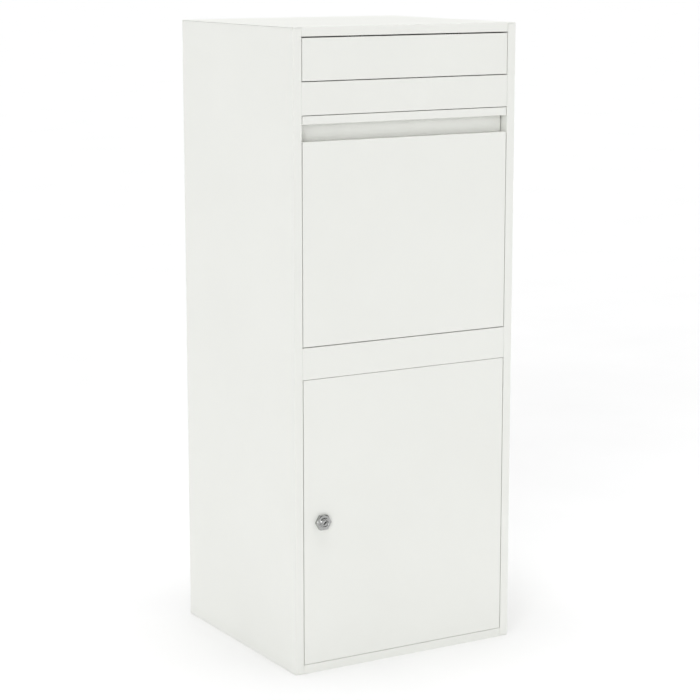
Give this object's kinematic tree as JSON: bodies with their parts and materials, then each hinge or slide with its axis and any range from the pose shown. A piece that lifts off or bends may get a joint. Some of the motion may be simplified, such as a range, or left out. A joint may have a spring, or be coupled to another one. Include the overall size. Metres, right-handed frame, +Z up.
{
  "type": "parcel drop box",
  "caption": "Tall free-standing steel drop box: inward letter flap, tilting parcel hopper with finger recess, and a side-hung locked door to the lower compartment.",
  "frame": {"origin": "on the ground under the middle of the cabinet, on the underside of the bottom panel", "axes": "+X to the right and +Y to the back as seen from the front, +Z up; the door, hopper and flap face -Y"},
  "size_m": [0.41, 0.389, 1.03],
  "materials": {
    "white_powder_coat": "smooth satin powder coat",
    "lock_chrome": "bright plated",
    "zinc_steel": "bright zinc plated",
    "nylon": "moulded",
    "black_rubber": "matte"
  },
  "bodies": {
    "cabinet": {"left_side_panel": "white_powder_coat", "right_side_panel": "white_powder_coat", "back_panel": "white_powder_coat", "back_nut_1": "zinc_steel", "back_nut_2": "zinc_steel", "back_nut_3": "zinc_steel", "back_nut_4": "zinc_steel", "back_nut_5": "zinc_steel", "back_nut_6": "zinc_steel", "back_nut_7": "zinc_steel", "back_nut_8": "zinc_steel", "top_panel": "white_powder_coat", "bottom_panel": "white_powder_coat", "letter_rail": "white_powder_coat", "middle_rail": "white_powder_coat", "letter_chute": "white_powder_coat", "baffle_panel": "white_powder_coat", "flap_rod": "zinc_steel", "flap_stop_left": "black_rubber", "flap_stop_right": "black_rubber", "hopper_bush_left": "nylon", "hopper_bush_right": "nylon", "hopper_stop_bracket_left": "zinc_steel", "hopper_stop_bracket_right": "zinc_steel", "hopper_stop_pad_left": "black_rubber", "hopper_stop_pad_right": "black_rubber", "door_stop_upper": "zinc_steel", "door_stop_lower": "zinc_steel", "door_hinge_plate_top": "zinc_steel", "door_hinge_plate_bottom": "zinc_steel", "door_hinge_pin_top": "zinc_steel", "door_hinge_pin_bottom": "zinc_steel"},
    "letter_flap": {"letter_flap_panel": "white_powder_coat"},
    "hopper": {"hopper_front_panel": "white_powder_coat", "hopper_grip_rail": "white_powder_coat", "hopper_cheek_left": "white_powder_coat", "hopper_cheek_right": "white_powder_coat", "hopper_tray": "white_powder_coat", "hopper_rod": "zinc_steel", "hopper_rod_clip_left": "zinc_steel", "hopper_rod_clip_right": "zinc_steel", "cheek_screw_left_lower": "zinc_steel", "cheek_screw_right_lower": "zinc_steel", "cheek_screw_left_upper": "zinc_steel", "cheek_screw_right_upper": "zinc_steel"},
    "door": {"door_panel": "white_powder_coat", "door_stiffener": "white_powder_coat", "door_bush_top": "nylon", "door_bush_bottom": "nylon", "lock_body": "lock_chrome", "lock_washer": "zinc_steel", "lock_nut": "zinc_steel"},
    "lock_plug": {"lock_plug": "lock_chrome", "lock_cam": "zinc_steel", "lock_cam_nut": "zinc_steel"}
  },
  "joints": [
    {"name": "flap_hinge", "type": "hinge", "parent": "cabinet", "child": "letter_flap", "pos_m": [0, -0.1858, 1.009], "axis": [1, 0, 0], "range_deg": [0, 65]},
    {"name": "hopper_hinge", "type": "hinge", "parent": "cabinet", "child": "hopper", "pos_m": [0, -0.181, 0.5721], "axis": [1, 0, 0], "range_deg": [0, 45]},
    {"name": "door_hinge", "type": "hinge", "parent": "cabinet", "child": "door", "pos_m": [0.171, -0.184, 0.2481], "axis": [0, 0, 1], "range_deg": [0, 105]},
    {"name": "lock_turn", "type": "hinge", "parent": "door", "child": "lock_plug", "pos_m": [-0.1555, -0.19, 0.2481], "axis": [0, 1, 0], "range_deg": [0, 90]}
  ]
}
